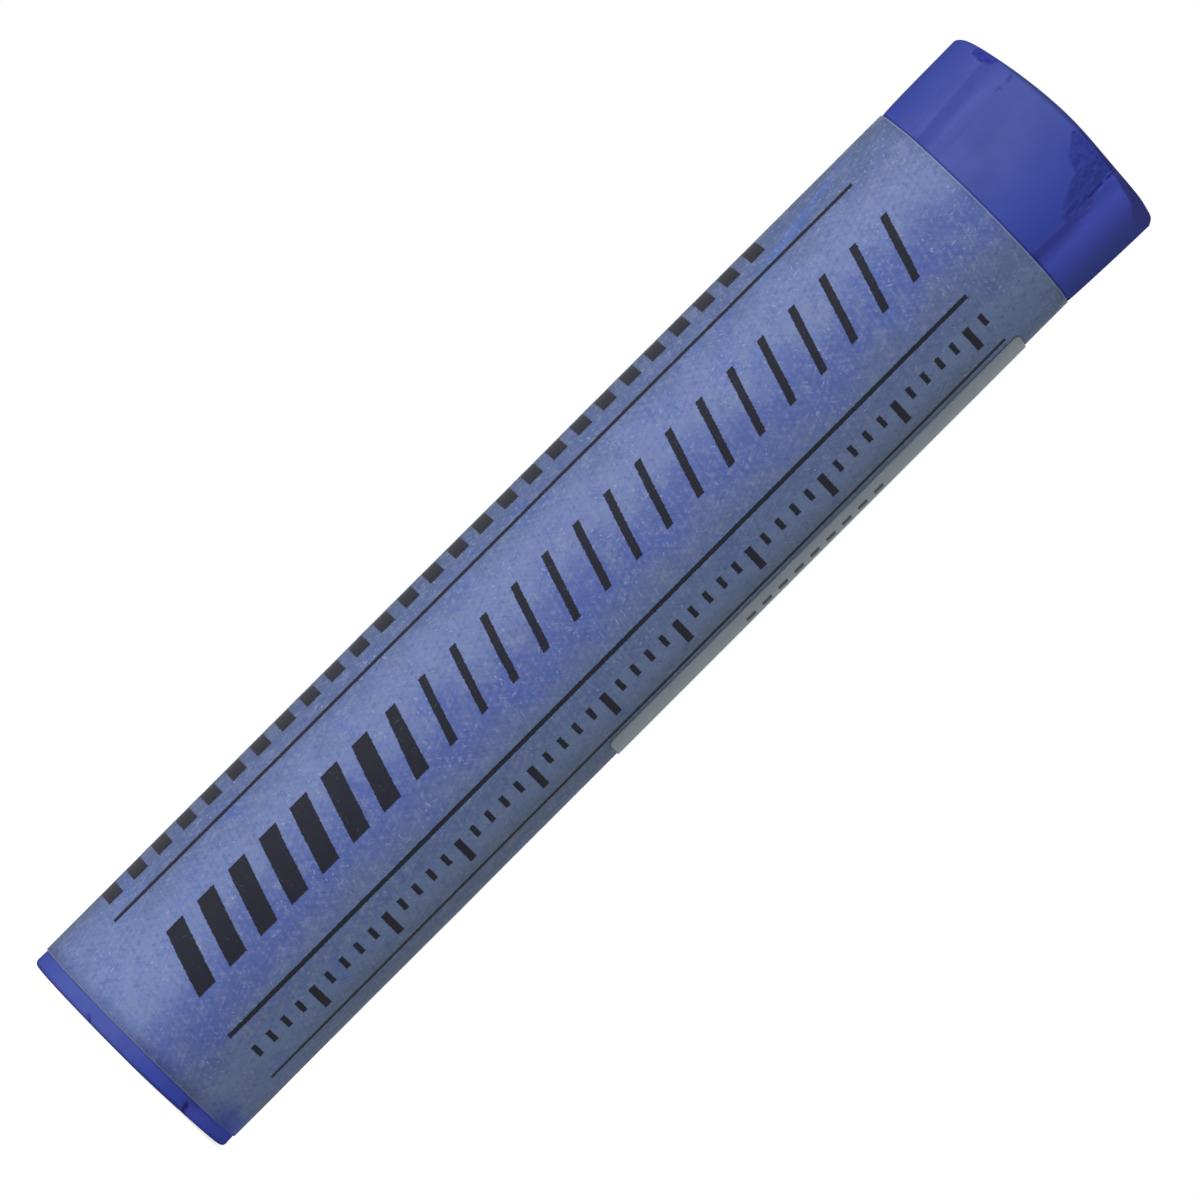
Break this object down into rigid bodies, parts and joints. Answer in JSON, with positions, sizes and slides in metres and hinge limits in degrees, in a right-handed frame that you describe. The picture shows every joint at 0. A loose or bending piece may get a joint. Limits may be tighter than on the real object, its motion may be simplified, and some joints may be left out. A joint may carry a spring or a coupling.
{
  "type": "soft pastel stick",
  "caption": "Round soft pastel stick with a flat foot and a domed, chipped top, rolled in translucent ruled paper that leaves both ends bare, with a small plain label at the back.",
  "frame": {"origin": "middle of the flat foot that the stick stands on", "axes": "+Z along the stick from its foot to its domed top; -Y faces the picture's camera, and +X is the picture's lower right"},
  "size_m": [0.0131, 0.0131, 0.065],
  "materials": {
    "pastel": "dead matt pressed pigment, dusty",
    "wrapper_paper": "translucent uncoated paper, matt, blue where the pigment shows through",
    "label_paper": "smooth white paper, matt"
  },
  "bodies": {
    "root": {"pastel_stick": "pastel", "paper_wrapper": "wrapper_paper", "back_label": "label_paper"}
  },
  "joints": []
}
